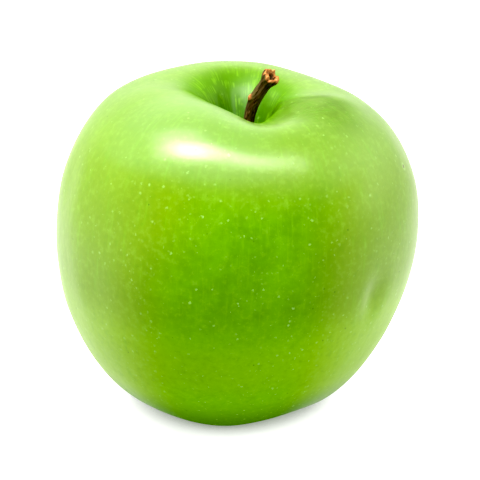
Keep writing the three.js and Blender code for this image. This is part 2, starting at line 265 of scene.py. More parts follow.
def dent_depth(azimuth, radius, height):
    """A bump aside times a bump up, on the dent's side of the fruit only."""
    turned = azimuth - np.radians(DENT["azimuth"])
    pressed = hump(radius * np.sin(turned), DENT["round"]) * hump(height - DENT["height"], DENT["up"])
    return np.where(np.cos(turned) > 0, DENT["depth"] * pressed, 0)


def mouth_widening(azimuth, radius):
    """The cavity is wider on one side and tighter on another: the sum of widening_i
    bell(azimuth - side_i) hump(radius - radius_i)."""
    return sum(
        side["widening"] * bell(azimuth - np.radians(side["azimuth"]), side["sharpness"])
        * hump(radius - side["radius"], side["reach"]) for side in CAVITY_MOUTH
    )


def fruit_points(azimuth, outline):
    """Where the round outline goes once the fruit has its lobes, lean, saddle and dent:
    radius = (outline radius (1 + swell / R) - groove - dent) x folds + widening, the last two in
    the cavity alone, and height = outline height + (rise + tip - saddle) on the shoulder
    + groove under the crown."""
    outline_radius, outline_height = outline[..., 0], outline[..., 1]
    share = outline_height / SHOULDER_HEIGHT
    on_top = share > TOP_HALF
    away = 1 - hump(outline_radius, CALM_AXIS_RADIUS)
    top = ease((share - SHOULDER_FADE["from"]) / SHOULDER_FADE["over"])
    bottom = ease((CROWN_FADE["from"] - share) / CROWN_FADE["over"])
    between = 1 - lobe_share(azimuth)
    fading = 1 - SIDE_GROOVE["fade"] * hump(share - SIDE_GROOVE["middle"], SIDE_GROOVE["reach"])
    radius = outline_radius * (1 + lobe_sum(azimuth, LOBE_SWELL) / EQUATOR_RADIUS)
    radius = radius - SIDE_GROOVE["depth"] * between * away * fading
    radius = radius - dent_depth(azimuth, outline_radius, outline_height)
    ring = five_sided(azimuth, CAVITY_FOLDS["corner"], CAVITY_FOLDS["sharpness"])
    in_cavity = CAVITY_FOLDS["share"] * hump(outline_radius - CAVITY_FOLDS["radius"], CAVITY_FOLDS["reach"])
    radius = radius * (1 + in_cavity * (ring - ring.mean()) * on_top)
    radius = radius + mouth_widening(azimuth, outline_radius) * on_top
    x, y = radius * np.cos(azimuth), radius * np.sin(azimuth)
    tip = (SHOULDER_TIP[0] * x + SHOULDER_TIP[1] * y) / EQUATOR_RADIUS
    pressed = bell(azimuth - np.radians(SADDLE["azimuth"]), SADDLE["sharpness"])
    saddle = SADDLE["depth"] * pressed * hump(outline_radius - SADDLE["radius"], SADDLE["reach"]) * away
    rise = lobe_sum(azimuth, LOBE_RISE) * away
    crown_groove = CROWN_GROOVE * (1 - lobe_share(azimuth - np.radians(CROWN_TURN))) * bottom * away
    height = outline_height + (rise + tip - saddle) * top + crown_groove
    return np.stack([x + TOP_LEAN * ease(share), y, height], -1)


print("lobe share on the first lobe:", lobe_share(np.radians(FIRST_LOBE_AZIMUTH)))

# %% [markdown]
# ## Small unevenness
# What separates a real apple from a turned one is in the tenths of a millimetre. The skin is
# faintly wavy, which bends the edges of every highlight. Fine pleats run down into the stalk
# cavity, and deeper ones draw the skin into the basin round the calyx. These are real shape, so
# they go into the mesh and not only into a bump map. The waves are a sum of slow sines with
# seeded directions, which has no seam anywhere on a closed body.

# %% Waves, pleats and the way outwards
SKIN_WAVES = {"count": 24, "height": 0.035, "shortest": 9, "longest": 26, "seed": 7}
CAVITY_PLEATS = {"number": 17, "height": 0.10, "radius": 6.5, "reach": 3.4}
BASIN_PLEATS = {"number": 13, "height": 0.32, "radius": 6.2, "reach": 3.2}
PLEAT_WANDER = [[3, 1.3, 0.7], [5, 0.9, 0]]
SHORTEST_NORMAL = 1e-9


def skin_waves(points):
    """The sum of sin(k . p + phase) over seeded directions, with wavelengths between two sizes."""
    rng = np.random.default_rng(SKIN_WAVES["seed"])
    total = np.zeros(points.shape[:-1])
    for _ in range(SKIN_WAVES["count"]):
        direction = rng.normal(size=3)
        length = rng.uniform(SKIN_WAVES["shortest"], SKIN_WAVES["longest"])
        wave = 2 * np.pi * direction / np.linalg.norm(direction) / length
        total += np.sin(points @ wave + rng.uniform(0, 2 * np.pi)) * length / SKIN_WAVES["longest"]
    return SKIN_WAVES["height"] * total


def pleats(azimuth, radius, sizes):
    """height sin(number azimuth + a slow wander) at one distance from the axis."""
    folds = np.sin(sizes["number"] * azimuth + ripple(azimuth, PLEAT_WANDER))
    return sizes["height"] * folds * hump(radius - sizes["radius"], sizes["reach"])


def surface_normals(points):
    """The cross product of the two grid directions, made to point away from the middle."""
    round_the = np.roll(points, -1, axis=0) - np.roll(points, 1, axis=0)
    along = np.gradient(points, axis=1)
    normals = np.cross(along, round_the)
    lengths = np.linalg.norm(normals, axis=-1, keepdims=True)
    normals = normals / np.maximum(lengths, SHORTEST_NORMAL)
    middle_row = points.shape[1] // 2
    outward = (normals[:, middle_row] * points[:, middle_row] * [1, 1, 0]).sum()
    return normals * np.sign(outward)


print("skin waves at the origin:", skin_waves(np.zeros((1, 3))).round(3), "mm")

# %% [markdown]
# ## The fruit's mesh
# The round outline goes through the shape, the relief moves each point along its own normal, and
# whatever lies under the resting level is worn flat. Three marks go with the points, because the
# colours of the skin follow the way it grew: the meridian it lies on, how high it is on the
# outline, and how far from the axis.

# %% Fruit surface
FRUIT_COLUMNS = 320
FRUIT_ROWS = 261
POLE_CALM_RADIUS = 1.5

azimuth = ring_of(FRUIT_COLUMNS)
outline = outline_curve(FRUIT_GUIDES)(np.linspace(0, 1, FRUIT_ROWS))[None]
outline_radius, outline_height = outline[..., 0], outline[..., 1]
surface = fruit_points(azimuth, outline)
relief = np.where(
    outline_height / SHOULDER_HEIGHT > TOP_HALF,
    pleats(azimuth, outline_radius, CAVITY_PLEATS),
    pleats(azimuth, outline_radius, BASIN_PLEATS),
)
relief = (relief + skin_waves(surface)) * (1 - hump(outline_radius, POLE_CALM_RADIUS))
surface = surface + surface_normals(surface) * relief[..., None]
surface[..., 2] = np.maximum(surface[..., 2], REST_WEAR) - REST_WEAR
surface[:, 0] = surface[:, 0].mean(0)
surface[:, -1] = surface[:, -1].mean(0)
print("the fruit is", np.ptp(surface, axis=(0, 1)).round(1), "mm along x, y and z")

# %% Fruit mesh
middle = (surface.min((0, 1)) + surface.max((0, 1))) / 2
to_frame = (fruit_low + fruit_high) / 2 / MM - middle
to_frame[2] = 0
steps = np.linalg.norm(np.diff(outline[0], axis=0), axis=1)
along_outline = np.concatenate([[0], np.cumsum(steps)]) / EQUATOR_RADIUS
grid_shape = surface.shape[:2]
marks = {
    "meridian": np.stack([
        np.broadcast_to(values, grid_shape) for values in (np.cos(azimuth), np.sin(azimuth), along_outline)
    ], -1),
    "height_share": np.broadcast_to(outline_height / SHOULDER_HEIGHT, grid_shape),
    "from_axis": np.broadcast_to(outline_radius, grid_shape),
}
apple_skin = closed_piece("apple_skin", surface + to_frame, marks)
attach(apple_skin, "root")
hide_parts("fruit")
print("the fruit was moved into the frame by", to_frame.round(2), "mm")

# %% [markdown]
# ## The stalk
# The stalk is a short twig: it leaves the cavity upright, bends to one side and ends in a flared,
# torn face where it broke from the spur, with a dark hollow of pulled fibres inside. A curve
# object with a bevel would be too even, so it is a profile of (radius, distance) carried along a
# path, with five bark ridges, lengthwise wrinkles, one bud knob and ragged teeth on its rim.
# Its root runs down into the cavity floor, so no gap shows round it.

# %% Paths and the pieces carried along them
STALK_PATH = [
    [3, 0, 51], [3, 0, 54], [3.1, -0.1, 58], [3.2, -0.4, 63], [3.9, -0.8, 67.7], [5.7, -1.4, 71.3],
    [7.6, -1.9, 74], [8.8, -2.2, 75.9],
]
PATH_SAMPLES = 400


class Path:
    """A guided path measured by distance. At each distance it gives the point, the direction
    forward, and two directions across: right = Y x forward, and back = forward x right."""

    def __init__(self, guides):
        points = path_curve(guides)(np.linspace(0, 1, PATH_SAMPLES))
        pieces = np.linalg.norm(np.diff(points, axis=0), axis=1)
        self.distances = np.concatenate([[0], np.cumsum(pieces)])
        self.length = self.distances[-1]
        self.points = points
        self.directions = np.gradient(points, self.distances, axis=0)

    def _read(self, table, distance):
        """The three columns of a table, read between its rows at each distance."""
        return np.stack([np.interp(distance, self.distances, table[:, i]) for i in range(3)], -1)

    def at(self, distance):
        """Past either end the path goes straight on, so a rim may stand out beyond it."""
        inside = np.clip(distance, 0, self.length)
        forward = self._read(self.directions, inside)
        forward = forward / np.linalg.norm(forward, axis=-1, keepdims=True)
        right = np.cross(np.array([0, 1, 0]), forward)
        right = right / np.linalg.norm(right, axis=-1, keepdims=True)
        back = np.cross(forward, right)
        point = self._read(self.points, inside) + forward * (distance - inside)[..., None]
        return point, forward, right, back

    def carry(self, angle, radius, distance):
        """point(distance) + radius (cos(angle) right + sin(angle) back)."""
        point, _, right, back = self.at(distance)
        across = np.cos(angle)[..., None] * right + np.sin(angle)[..., None] * back
        return point + radius[..., None] * across


stalk_path = Path(STALK_PATH)
print("the stalk is", round(float(stalk_path.length), 1), "mm long, root and all")

# %% Bark and the torn end
RIDGES = {"number": 5, "height": 0.05}
WRINKLES = {"number": 13, "height": 0.035, "length": 1.7, "bend": 2}
FIBRES = {"number": 31, "height": 0.02, "length": 0.8, "bend": 4, "follow": 3}
BARK_WANDER = [[0.35, 2.1, 0], [0.2, 0.9, 1]]
TORN_END = {"from": 24, "reach": 2, "azimuth": -60, "slant": 0.35, "teeth": 5, "tooth": 0.12}
SPLINTERS = [[3, 0.16, 1.1], [7, 0.13, 2.3], [11, 0.10, 0.5], [17, 0.07, 4.0], [29, 0.04, 1.0]]
SPLINTER_PLACE = {"radius": 1.45, "reach": 0.55, "twist": 0.2}
RIM_LUMPS = [[2, 0.05, 0.4], [4, 0.05, 2.0], [9, 0.035, 1.0], [15, 0.02, 3.0]]
RIM_SWELL = {"from": 23.4, "over": 1.2}


def bark_relief(angle, distance):
    """1 + ridges cos(5 angle) + wrinkles and fibres: sin(number angle + wander) times a wave of
    distance / length that the angle bends. wander is the sum of size sin(distance / length + start)."""
    wander = sum(size * np.sin(distance / length + start) for size, length, start in BARK_WANDER)
    ridges = RIDGES["height"] * np.cos(RIDGES["number"] * angle)
    wrinkles = WRINKLES["height"] * np.sin(WRINKLES["number"] * (angle + wander))
    wrinkles = wrinkles * np.sin(distance / WRINKLES["length"] + WRINKLES["bend"] * np.cos(angle))
    fibres = FIBRES["height"] * np.sin(FIBRES["number"] * angle + FIBRES["follow"] * wander)
    fibres = fibres * np.cos(distance / FIBRES["length"] + FIBRES["bend"] * np.sin(2 * angle))
    return 1 + ridges + wrinkles + fibres


def torn_offset(angle, distance, radius):
    """How far the torn end stands out or falls back: a slant across it and its broken fibres."""
    slant = TORN_END["slant"] * radius * np.cos(angle - np.radians(TORN_END["azimuth"]))
    teeth = TORN_END["tooth"] * radius * np.sin(TORN_END["teeth"] * angle)
    splinters = ripple(angle + SPLINTER_PLACE["twist"] * radius, SPLINTERS)
    splinters = splinters * hump(radius - SPLINTER_PLACE["radius"], SPLINTER_PLACE["reach"])
    return (teeth - slant + splinters) * ease((distance - TORN_END["from"]) / TORN_END["reach"])


def torn_bulge(angle, distance):
    """The torn end swells unevenly: 1 + lumps, from the neck out to the rim."""
    return 1 + ripple(angle, RIM_LUMPS) * ease((distance - RIM_SWELL["from"]) / RIM_SWELL["over"])


print("the splinters stand out up to", round(sum(height for _, height, _ in SPLINTERS), 2), "mm")

# %% Stalk mesh
STALK_GUIDES = [
    [0, 0], [1, 0], [1.4, 0.8], [1.3, 5], [1.15, 10], [1.15, 14], [1.3, 18], [1.28, 21.6],
    [1.2, 23.1], [1.85, 24.4], [1.85, 25.6], [1.25, 25.8], [0.85, 24.9], [0.5, 24.3], [0, 24.1],
]
STALK_COLUMNS = 120
STALK_ROWS = 420
KNOB = {"azimuth": 200, "distance": 19, "height": 0.5, "reach": 0.8, "sharpness": 6}
BARE_WOOD = {"from": 24.8, "over": 0.5, "raggedness": 1.75}
BARK_GRAIN = 2

angle = ring_of(STALK_COLUMNS)
profile = outline_curve(STALK_GUIDES)(np.linspace(0, 1, STALK_ROWS))[None]
profile_radius, profile_distance = profile[..., 0], profile[..., 1]
knob = hump(profile_distance - KNOB["distance"], KNOB["reach"])
knob = knob * bell(angle - np.radians(KNOB["azimuth"]), KNOB["sharpness"])
stalk_radius = profile_radius * bark_relief(angle, profile_distance) + KNOB["height"] * knob
stalk_radius = stalk_radius * torn_bulge(angle, profile_distance)
stalk_distance = profile_distance + torn_offset(angle, profile_distance, profile_radius)
stalk_radius[:, [0, -1]] = 0
stalk_distance[:, [0, -1]] = stalk_distance[:, [0, -1]].mean(0)
stalk_points = stalk_path.carry(angle + 0 * stalk_distance, stalk_radius, stalk_distance)
rim_row = int(np.argmax(profile[0, :, 1]))
inside = np.clip((np.arange(STALK_ROWS) - rim_row) / (STALK_ROWS - rim_row), 0, 1)[None]
lowered = to_frame - [0, 0, REST_WEAR]
bare_from = BARE_WOOD["from"] - BARE_WOOD["raggedness"] * ripple(angle, SPLINTERS)
stalk_marks = {
    "round_along": np.stack([
        np.broadcast_to(np.cos(angle), stalk_distance.shape),
        np.broadcast_to(np.sin(angle), stalk_distance.shape),
        profile_distance / BARK_GRAIN + 0 * angle,
    ], -1),
    "torn": ease((profile_distance - bare_from) / BARE_WOOD["over"]) + inside,
    "hollow": inside + 0 * angle,
    "knob": knob,
}
stalk = closed_piece("stalk_twig", stalk_points + lowered, stalk_marks)
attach(stalk, "root")
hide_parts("stalk")

# %% [markdown]
# ## The calyx and its stamens
# Underneath, in the basin, sit the remains of the blossom: five sepals, dry and green-brown, that
# stand together and curl back at their tips, round a tuft of dark stamens. They could be cut from
# a sheet and thickened, but that leaves a hard edge all round. Each sepal is a closed blade
# instead: its section is a thin lens whose edges are rolled, its width narrows to a point, and it
# stands in the upright plane of its own azimuth. The threads of the tuft are the same surface with
# a round section and a swollen tip, so one function makes both.

# %% Blades and turned bodies
SWAY_WAVES = 5
ROUND_COLUMNS = 80
CALYX_SEED = 11
rng = np.random.default_rng(CALYX_SEED)


def turned(points, azimuth):
    """Points turned about the vertical axis."""
    c, s = np.cos(azimuth), np.sin(azimuth)
    return points @ np.array([[c, s, 0], [-s, c, 0], [0, 0, 1]])


def blade(guides, sizes, half_width, half_thickness, sway, roll=0.0):
    """A closed blade in the plane y = 0: path(t) + half_thickness sin(a) normal
    + half_width cos(a) Y, with its edges rolled along the normal by roll cos(a)^2."""
    t = np.linspace(0, 1, sizes["rows"])
    line = path_curve([[reach, 0, height] for reach, height in guides])(t)
    forward = np.gradient(line, axis=0)
    forward = forward / np.linalg.norm(forward, axis=1, keepdims=True)
    normal = np.stack([-forward[:, 2], 0 * t, forward[:, 0]], -1)[None]
    a = ring_of(sizes["columns"])
    closing = np.where((t == 0) | (t == 1), 0, 1)[None]
    width, thickness = half_width(t)[None] * closing, half_thickness(t)[None] * closing
    offset = thickness * np.sin(a) + roll * np.cos(a) ** 2 * width
    aside = width * np.cos(a) + sway * (np.sin(SWAY_WAVES * t) * t)[None]
    return line[None] + offset[..., None] * normal + aside[..., None] * np.array([0, 1, 0])


def wobbled(path, sizes):
    """The guides moved at random by up to about wobble, and most at the tip."""
    share = np.linspace(sizes["root_share"], 1, len(path))[:, None]
    return np.array(path) + rng.normal(0, sizes["wobble"], (len(path), 2)) * share


def round_body(guides, rows):
    """An outline turned about the vertical axis: (radius cos(a), radius sin(a), height)."""
    profile = outline_curve(guides)(np.linspace(0, 1, rows))[None]
    radius, height = profile[..., 0], profile[..., 1]
    a = ring_of(ROUND_COLUMNS)
    return np.stack([radius * np.cos(a), radius * np.sin(a), height + 0 * a], -1)


def join(name, grids):
    """Several closed grids in one mesh object."""
    parts = [closed_piece(f"{name}_{i}", grid) for i, grid in enumerate(grids)]
    with bpy.context.temp_override(active_object=parts[0], selected_editable_objects=parts):
        bpy.ops.object.join()
    parts[0].name = parts[0].data.name = name
    return parts[0]


print("a turned quarter:", turned(np.array([1, 0, 0]), np.pi / 2).round(2))

# %% Sepals on their cup
CUP_GUIDES = [
    [0, 12.6], [2.2, 12.6], [3, 12.2], [3.1, 10.6], [2.9, 9.6], [2.2, 9.3], [1.5, 9.5], [1.3, 10.5],
    [1.2, 11.4], [0, 11.6],
]
CUP_ROWS = 60
SEPAL_PATH = [[2.2, 10.9], [2.2, 9.4], [1.9, 7.8], [2.1, 6.2], [3.1, 5], [4.4, 4.7]]
SEPALS = {
    "count": 5, "azimuth": 20, "half_width": 1.7, "tip": 0.12, "taper": 1.6, "half_thickness": 0.24,
    "thinning": 0.6, "roll": -0.22, "wobble": 0.12, "root_share": 0, "sway": 0.25, "columns": 40, "rows": 60,
}


def sepal_width(t):
    """Widest at the root, and narrowing as 1 - t^taper to a point."""
    return SEPALS["tip"] + (SEPALS["half_width"] - SEPALS["tip"]) * (1 - t ** SEPALS["taper"])


def sepal_thickness(t):
    """Thick at the root and thin at the tip: half_thickness (1 - thinning t)."""
    return SEPALS["half_thickness"] * (1 - SEPALS["thinning"] * t)


sepals = []
for i in range(SEPALS["count"]):
    guides = wobbled(SEPAL_PATH, SEPALS)
    sway = rng.normal(0, SEPALS["sway"])
    grid = blade(guides, SEPALS, sepal_width, sepal_thickness, sway, SEPALS["roll"])
    sepals.append(turned(grid, np.radians(SEPALS["azimuth"]) + i * 2 * np.pi / SEPALS["count"]) + lowered)
calyx = join("calyx_sepals", [round_body(CUP_GUIDES, CUP_ROWS) + lowered, *sepals])
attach(calyx, "root")
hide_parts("calyx")

# %% Tuft of stamens
CORE_GUIDES = [[0, 11.3], [0.9, 11.3], [1, 10.4], [0.8, 9.4], [0.3, 9.0], [0, 9.0]]
CORE_ROWS = 24
STAMEN_PATH = [[0.3, 10.4], [0.45, 9], [0.7, 7.6], [0.9, 6.4]]
STAMENS = {
    "count": 15, "turn": 0.382, "radius": 0.13, "anther": 0.3, "reach": 0.12, "wobble": 0.1,
    "root_share": 0.5, "sway": 0.2, "columns": 12, "rows": 30,
}


def stamen_radius(t):
    """A thread with a swollen end: radius + (anther - radius) times a bump at t = 1."""
    return STAMENS["radius"] + (STAMENS["anther"] - STAMENS["radius"]) * hump(1 - t, STAMENS["reach"])


threads = []
for i in range(STAMENS["count"]):
    guides = wobbled(STAMEN_PATH, STAMENS)
    grid = blade(guides, STAMENS, stamen_radius, stamen_radius, rng.normal(0, STAMENS["sway"]))
    threads.append(turned(grid, i * 2 * np.pi * STAMENS["turn"]) + lowered)
tuft = join("stamen_tuft", [round_body(CORE_GUIDES, CORE_ROWS) + lowered, *threads])
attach(tuft, "root")
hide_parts("stamens")

# %% [markdown]
# ## Wiring a finish
# Each finish is a small tree of nodes. Writing every link out hides the idea, so one class adds a
# node, sets its sockets and links whatever it is given, and a few methods name what the nodes are
# for: cloudiness, spots, steps and mixes. A step is written as (from, to), or as (from, to, value
# before, value after), and it may run downwards, from the higher number to the lower one.

# %% Finish helper
class Finish:
    """A material being wired. A socket given as a value is set, and given as a socket is linked."""

    def __init__(self, name):
        self.material = bpy.data.materials.new(name)
        self.material.use_nodes = True
        self.tree = self.material.node_tree
        self.tree.nodes.clear()

    def add(self, kind, inputs=None, **settings):
        """One node, with its settings and its inputs."""
        node = self.tree.nodes.new("ShaderNode" + kind)
        for key, value in settings.items():
            setattr(node, key, value)
        for key, value in (inputs or {}).items():
            if isinstance(value, bpy.types.NodeSocket):
                self.tree.links.new(value, node.inputs[key])
            else:
                node.inputs[key].default_value = value
        return node

    def place(self):
        """The point on the piece, in metres from the origin."""
        return self.add("TexCoord").outputs["Object"]

    def mark(self, name, output="Fac"):
        """One of the marks that the mesh keeps as attributes."""
        return self.add("Attribute", attribute_name=name).outputs[output]

    def stretch(self, vector, scale):
        """Each part of the vector times its own scale: a small one draws a pattern out."""
        return self.add("Mapping", {"Vector": vector, "Scale": scale}).outputs["Vector"]

    def clouds(self, vector, scale=1.0, detail=3.0, roughness=0.5):
        """Soft noise round 0.5, with scale clouds to each unit of the vector."""
        inputs = {"Vector": vector, "Scale": scale, "Detail": detail, "Roughness": roughness}
        return self.add("TexNoise", inputs).outputs["Fac"]

    def cells(self, vector, scale, **settings):
        """The nearest point of a seeded scatter: how far it is, and a colour of its own."""
        return self.add("TexVoronoi", {"Vector": vector, "Scale": scale}, **settings)

    def step(self, value, low, high, to_low=0.0, to_high=1.0):
        """A smooth step of value from low to high, turned into to_low to to_high."""
        inputs = {"Value": value, "From Min": low, "From Max": high, "To Min": to_low, "To Max": to_high}
        return self.add("MapRange", inputs, interpolation_type="SMOOTHSTEP").outputs["Result"]

    def math(self, operation, *values):
        """The values joined by one operation, from the first to the last."""
        return reduce(lambda a, b: self.add("Math", {0: a, 1: b}, operation=operation).outputs[0], values)

    def times(self, *values):
        """The product of the values."""
        return self.math("MULTIPLY", *values)

    def weighted(self, *parts):
        """The sum of value x share over pairs of (value, share)."""
        return self.math("ADD", *(self.times(value, share) for value, share in parts))

    def vector(self, operation, a, b):
        """Two vectors joined by one operation: a number for a distance or a dot product."""
        node = self.add("VectorMath", {0: a, 1: b}, operation=operation)
        return node.outputs["Value" if operation in ("DISTANCE", "DOT_PRODUCT") else "Vector"]

    def mix(self, share, first, second):
        """Colours: first where share is 0, second where it is 1."""
        node = self.add("Mix", {"Factor": share}, data_type="RGBA")
        for socket, value in ((node.inputs[6], first), (node.inputs[7], second)):
            if isinstance(value, bpy.types.NodeSocket):
                self.tree.links.new(value, socket)
            else:
                socket.default_value = (*value, 1)
        return node.outputs[2]

    def bump(self, height, distance, strength):
        """The normal of a low relief: height times distance, in metres."""
        inputs = {"Height": height, "Distance": distance, "Strength": strength}
        return self.add("Bump", inputs).outputs["Normal"]

    def close(self, inputs):
        """The shader and the output. Returns the finished material."""
        shader = self.add("BsdfPrincipled", inputs)
        self.add("OutputMaterial", {"Surface": shader.outputs["BSDF"]})
        return self.material


print("a finish can:", [name for name in vars(Finish) if not name.startswith("_")])

# %% [markdown]
# ## Waxy green skin
# Apple skin is a thin clear wax over green cells, with pale flesh glowing faintly through. Its
# green isn't one green: it is streaked along the meridians and mottled in soft clouds. Light and
# shade are painted into it too: painted shade deepens the stalk cavity, the top and the foot, a
# painted yellower tint stands for bright light on the sides and shoulder, painted light from the
# floor makes it paler towards the basin, and a painted pale glow lies round the highlight on one
# shoulder. One wrapped picture would stretch at both ends, so the colour is built as a painter
# would, one thin layer over the last: each layer is a colour and a mask made of steps.

# %% Skin colours and patterns
SKIN_DEEP = (0.090, 0.218, 0.003)
SKIN_GREEN = (0.117, 0.272, 0.004)
# painted light: a yellower green that stands for bright light on the sides and the shoulder
SKIN_PAINTED_LIGHT_TINT = (0.158, 0.250, 0.005)
# painted shade: a darker green for the top, which the soft boxes overhead light most
SKIN_PAINTED_TOP_SHADE = (0.108, 0.19, 0.004)
# painted light from the floor: paler greens for the lower part, the second with the yellower lit tint too
SKIN_PAINTED_BOUNCE = (0.158, 0.350, 0.004)
SKIN_PAINTED_BOUNCE_LIT = (0.212, 0.358, 0.006)
SKIN_LIGHT = (0.16, 0.32, 0.015)
SKIN_BLOOM = (0.24, 0.40, 0.065)
SKIN_SHADE = (0.078, 0.192, 0.002)
PATTERNS = {
    "clouds": {"scale": 80, "detail": 2},
    "mottle": {"scale": 260, "detail": 2},
    "dimples": {"scale": 330, "detail": 2},
    "dashes": {"scale": 420, "detail": 2},
    "grain": {"scale": 620, "detail": 3, "roughness": 0.6},
    "blotches": {"scale": 750, "detail": 3, "roughness": 0.6},
    "peel": {"scale": 1500, "detail": 2},
}
STREAKS = {
    "streaks": {"stretch": (8, 8, 1.2), "roughness": 0.55},
    "fine_streaks": {"stretch": (38, 38, 5), "roughness": 0.6},
}
TONE = {"clouds": 0.3, "streaks": 0.25, "mottle": 0.25, "grain": 0.2}
TONE_STEP = (0.38, 0.62)


def skin_patterns(skin, place, meridian):
    """The noises of the skin by name: clouds of several sizes, and streaks up the meridians."""
    patterns = {name: skin.clouds(place, **sizes) for name, sizes in PATTERNS.items()}
    for name, sizes in STREAKS.items():
        patterns[name] = skin.clouds(skin.stretch(meridian, sizes["stretch"]), roughness=sizes["roughness"])
    return patterns


def ground_color(skin, patterns):
    """Two greens, mixed by a tone that is the sum of pattern x share."""
    tone = skin.weighted(*((patterns[name], share) for name, share in TONE.items()))
    return skin.mix(skin.step(tone, *TONE_STEP), SKIN_DEEP, SKIN_GREEN)


print(len(PATTERNS) + len(STREAKS), "patterns for the skin")

# %% Bands from the foot to the shoulder
SHADY_SIDE = {"low": (0, -1, 0), "high": (0.12, -0.993, 0), "drop": 0.05, "turn": (0.55, 0.85)}
# painted light: steps for the yellower tint on the brightly lit sides and the shoulder
PAINTED_LIGHT_SIDE = (0.985, 0.8)
PAINTED_LIGHT_SHOULDER = (0.72, 0.9)
PAINTED_LIGHT_SHARE = 0.8
# painted shade: the step that darkens the top
PAINTED_TOP_SHADE_BAND = (0.88, 0.98, 0, 0.8)
# painted light from the floor: paler below, and a paler, yellower belt at a low height all round
PAINTED_BOUNCE_BAND = (0.52, 0.36, 0, 0.75)
PAINTED_BOUNCE_BELT = {"upper": (0.44, 0.32), "lower": (0.18, 0.27, 0, 0.3)}
# painted shade: the step that darkens the foot, next to the floor
FOOT_SHADE = (0.19, 0.04, 0, 0.95)
STREAK_SHARE = (0.5, 0.78, 0, 0.45)
PALE_BLOTCH = (0.48, 0.72, 0, 0.2)
DEEP_BLOTCH = (0.48, 0.3, 0, 0.2)


def facing_the_shade(skin, meridian, height):
    """1 on the side turned to the darker part of the room, and less round both sides of it: the
    dot product of the meridian with that side, which turns and drops a little on the shoulder."""
    low, high = (skin.vector("DOT_PRODUCT", meridian, SHADY_SIDE[name]) for name in ("low", "high"))
    share = skin.step(height, *SHADY_SIDE["turn"])
    high = skin.math("SUBTRACT", high, SHADY_SIDE["drop"])
    return skin.math("ADD", skin.times(low, skin.math("SUBTRACT", 1.0, share)), skin.times(high, share))


def banded_color(skin, color, patterns, facing, height):
    """Painted light and shade: a yellower tint on the brightly lit sides and the shoulder, a darker
    painted shade on top, and paler painted light from the floor below and in a belt; with pale
    streaks, pale blotches and deep blotches laid over all of it."""
    painted_lit_side = skin.step(facing, *PAINTED_LIGHT_SIDE)
    painted_light = skin.math("MAXIMUM", painted_lit_side, skin.step(height, *PAINTED_LIGHT_SHOULDER))
    color = skin.mix(skin.times(painted_light, PAINTED_LIGHT_SHARE), color, SKIN_PAINTED_LIGHT_TINT)
    color = skin.mix(skin.step(height, *PAINTED_TOP_SHADE_BAND), color, SKIN_PAINTED_TOP_SHADE)
    painted_bounce_color = skin.mix(painted_lit_side, SKIN_PAINTED_BOUNCE, SKIN_PAINTED_BOUNCE_LIT)
    color = skin.mix(skin.step(height, *PAINTED_BOUNCE_BAND), color, painted_bounce_color)
    painted_belt = skin.times(skin.step(height, *PAINTED_BOUNCE_BELT["upper"]), skin.step(height, *PAINTED_BOUNCE_BELT["lower"]))
    color = skin.mix(painted_belt, color, SKIN_PAINTED_BOUNCE_LIT)
    color = skin.mix(skin.step(patterns["fine_streaks"], *STREAK_SHARE), color, SKIN_LIGHT)
    color = skin.mix(skin.step(patterns["blotches"], *PALE_BLOTCH), color, SKIN_BLOOM)
    return skin.mix(skin.step(patterns["blotches"], *DEEP_BLOTCH), color, SKIN_DEEP)


print("the belt lies at heights", PAINTED_BOUNCE_BELT["lower"][0], "to", PAINTED_BOUNCE_BELT["upper"][0], "of the shoulder's")

# %% Wax haze and the stalk cavity
# painted highlight glow: a pale, bluish colour laid round the highlight on one shoulder
PAINTED_GLOW = (0.185, 0.31, 0.16)
PAINTED_GLOW_MIDDLE = (-0.010, -0.026, 0.066)
PAINTED_GLOW_MASK = {"near": (0.03, 0.01, 0, 0.24), "above": (0.82, 0.88), "thin": (0.8, 0.9, 0, 0.12)}
# painted shade for the bottom of the stalk cavity
CAVITY_FLOOR_SHADE = (0.04, 0.125, 0.001)
RUSSET = (0.24, 0.22, 0.035)
CAVITY = {"inside": (17.5, 11.5), "above": (0.6, 0.8), "shade": 0.9, "floor": (12, 6.5, 0, 0.9)}
CAVITY_THREADS = {"dashes": (0.42, 0.56), "streaks": (0.46, 0.64, 0, 0.6)}
RUSSET_PLACE = {"near": (4.6, 2.4), "streaks": (0.35, 0.6, 0, 0.6)}


def painted_glow_color(skin, color, place, height):
    """A painted pale glow that stands for the highlight's soft spread: faint on the whole shoulder, and more
    of it round one point.
    """
    away = skin.vector("DISTANCE", place, PAINTED_GLOW_MIDDLE)
    bright_glow = skin.times(skin.step(away, *PAINTED_GLOW_MASK["near"]), skin.step(height, *PAINTED_GLOW_MASK["above"]))
    return skin.mix(skin.math("MAXIMUM", bright_glow, skin.step(height, *PAINTED_GLOW_MASK["thin"])), color, PAINTED_GLOW)


def cavity_color(skin, color, patterns, in_cavity, from_axis):
    """Painted shade: darker in the cavity and darker still towards its floor, with short pale threads that
    run down into it.
    """
    color = skin.mix(skin.times(in_cavity, CAVITY["shade"]), color, SKIN_SHADE)
    color = skin.mix(skin.times(in_cavity, skin.step(from_axis, *CAVITY["floor"])), color, CAVITY_FLOOR_SHADE)
    threads = skin.times(in_cavity, skin.step(patterns["dashes"], *CAVITY_THREADS["dashes"]),
                         skin.step(patterns["fine_streaks"], *CAVITY_THREADS["streaks"]))
    return skin.mix(threads, color, SKIN_LIGHT)


print("the cavity's shade starts", CAVITY["inside"][0], "mm from the axis")

# %% [markdown]
# ## Pores, pits, a wrinkled patch and a scar
# The skin breathes through pale pores, called lenticels, that are close together low down and
# wider apart on the shoulder. A scatter of points in space does for them: wherever one lies just
# under the skin, a dot shows, so no two are alike and none is stretched. Tiny dark pits come from
# a second scatter, fine dull wrinkles lie on one darker patch of the shoulder, whose darkness is
# partly painted shade where the shoulder turns from the light by the cavity, and a small scar has a
# pale ring of cork round its dark middle.

